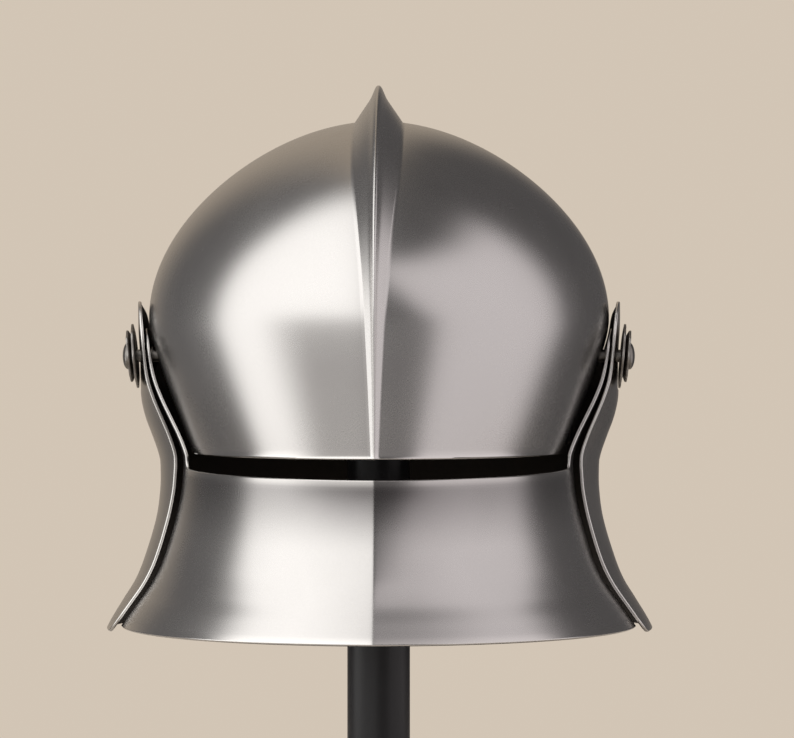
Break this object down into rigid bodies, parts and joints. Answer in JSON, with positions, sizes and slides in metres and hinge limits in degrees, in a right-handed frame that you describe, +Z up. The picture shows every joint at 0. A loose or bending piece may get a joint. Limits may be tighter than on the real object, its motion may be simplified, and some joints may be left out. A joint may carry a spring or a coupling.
{
  "type": "visored sallet helmet on a plain round display stand",
  "caption": "Steel sallet with a raised keel, a creased visor that lifts on temple pivots and a flared neck guard, held on a plain post stand.",
  "frame": {"origin": "middle of the underside of the stand's base, under the post", "axes": "+Z up, the helmet's face towards -Y, +X to the right as seen from in front, which is the side of the nodes named right"},
  "size_m": [0.2644, 0.357, 0.3682],
  "materials": {
    "bowl_steel": "satin polish, fine brushing across the bowl",
    "visor_steel": "satin polish, fine brushing",
    "tail_steel": "satin polish, fine brushing",
    "rosette_steel": "darker worn steel",
    "rivet_steel": "darker steel, worn bright on the head",
    "stand_black": "satin black",
    "cap_black": "matt black"
  },
  "bodies": {
    "helmet": {"skull": "bowl_steel", "tail": "tail_steel", "left_large_rosette": "rosette_steel", "right_large_rosette": "rosette_steel", "left_small_rosette": "rosette_steel", "right_small_rosette": "rosette_steel", "left_pivot_rivet": "rivet_steel", "right_pivot_rivet": "rivet_steel", "stand_base": "stand_black", "stand_post": "stand_black", "stand_cap": "cap_black"},
    "visor": {"visor": "visor_steel"}
  },
  "joints": [
    {"name": "visor_lift", "type": "hinge", "parent": "helmet", "child": "visor", "pos_m": [0, 0, 0.2386], "axis": [-1, 0, 0], "range_deg": [0, 45]}
  ]
}
